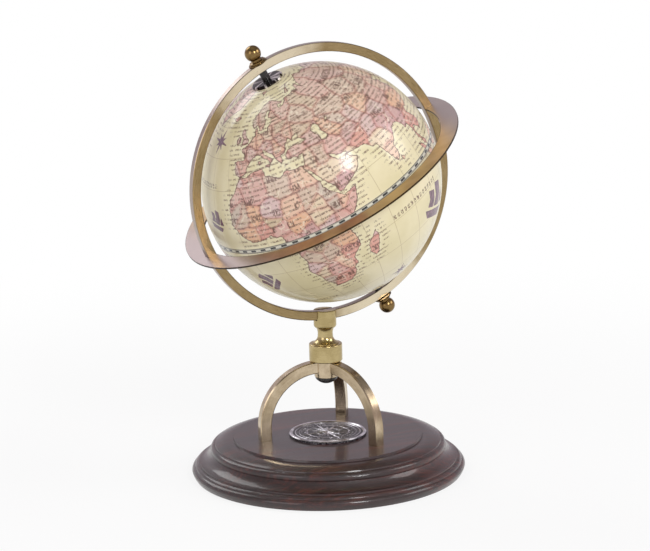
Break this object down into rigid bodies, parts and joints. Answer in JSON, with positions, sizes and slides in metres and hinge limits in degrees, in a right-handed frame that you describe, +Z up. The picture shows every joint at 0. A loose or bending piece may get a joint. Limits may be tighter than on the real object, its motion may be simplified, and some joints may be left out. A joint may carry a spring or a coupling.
{
  "type": "desktop globe on stand",
  "caption": "Antique-style desktop globe turning in a tilting full meridian ring with a flat horizon ring, on a three-legged brass stem and a turned round wooden base.",
  "frame": {"origin": "centre of the underside of the round base", "axes": "+Z up; the meridian ring lies in the XZ plane and the north end of the globe's axis leans towards -X; -Y is the front"},
  "size_m": [0.1636, 0.176, 0.2578],
  "materials": {
    "base_wood": "dark walnut stain under gloss lacquer",
    "base_felt": "dark green felt",
    "medallion_metal": "antique silver casting, blackened in the low parts",
    "leg_brass": "antique satin brass",
    "stem_brass": "turned satin brass",
    "ring_brass": "antique satin brass, brushed along the bar",
    "horizon_brass": "polished antique brass sheet",
    "finial_brass": "dark polished brass",
    "axle_steel": "bright steel",
    "screw_steel": "zinc plated",
    "nut_metal": "black gloss",
    "pad_plastic": "nylon",
    "globe_paper": "printed paper gores under clear varnish on a plastic shell",
    "inner_plastic": "moulded plastic",
    "cap_metal": "dark polished plate"
  },
  "bodies": {
    "stand": {"base_plinth": "base_wood", "base_felt_pad": "base_felt", "compass_medallion": "medallion_metal", "leg_left": "leg_brass", "leg_front": "leg_brass", "leg_rear": "leg_brass", "leg_screws": "screw_steel", "leg_washers": "screw_steel", "leg_hub": "leg_brass", "hub_washer": "nut_metal", "hub_cap_nut": "nut_metal", "stem_stud": "screw_steel", "stem_collar": "stem_brass", "stem_column": "stem_brass", "fork_pad": "pad_plastic", "fork_grub_screw": "screw_steel"},
    "meridian": {"meridian_ring": "ring_brass", "horizon_ring": "horizon_brass", "axle_rod": "axle_steel", "north_finial": "finial_brass", "south_finial": "finial_brass", "north_washer": "finial_brass", "south_washer": "finial_brass", "north_spacer": "axle_steel", "south_spacer": "axle_steel"},
    "globe": {"north_globe_half": "globe_paper", "south_globe_half": "globe_paper", "globe_seam_band": "inner_plastic", "north_pole_cap": "cap_metal", "south_pole_cap": "cap_metal", "north_bush": "inner_plastic", "south_bush": "inner_plastic"}
  },
  "joints": [
    {"name": "meridian_tilt", "type": "hinge", "parent": "stand", "child": "meridian", "pos_m": [0, 0, 0.1747], "axis": [0, 1, 0], "range_deg": [-50, 17]},
    {"name": "globe_spin", "type": "hinge", "parent": "meridian", "child": "globe", "pos_m": [0, 0, 0.1747], "axis": [-0.4617, 0, 0.887], "continuous": true}
  ]
}
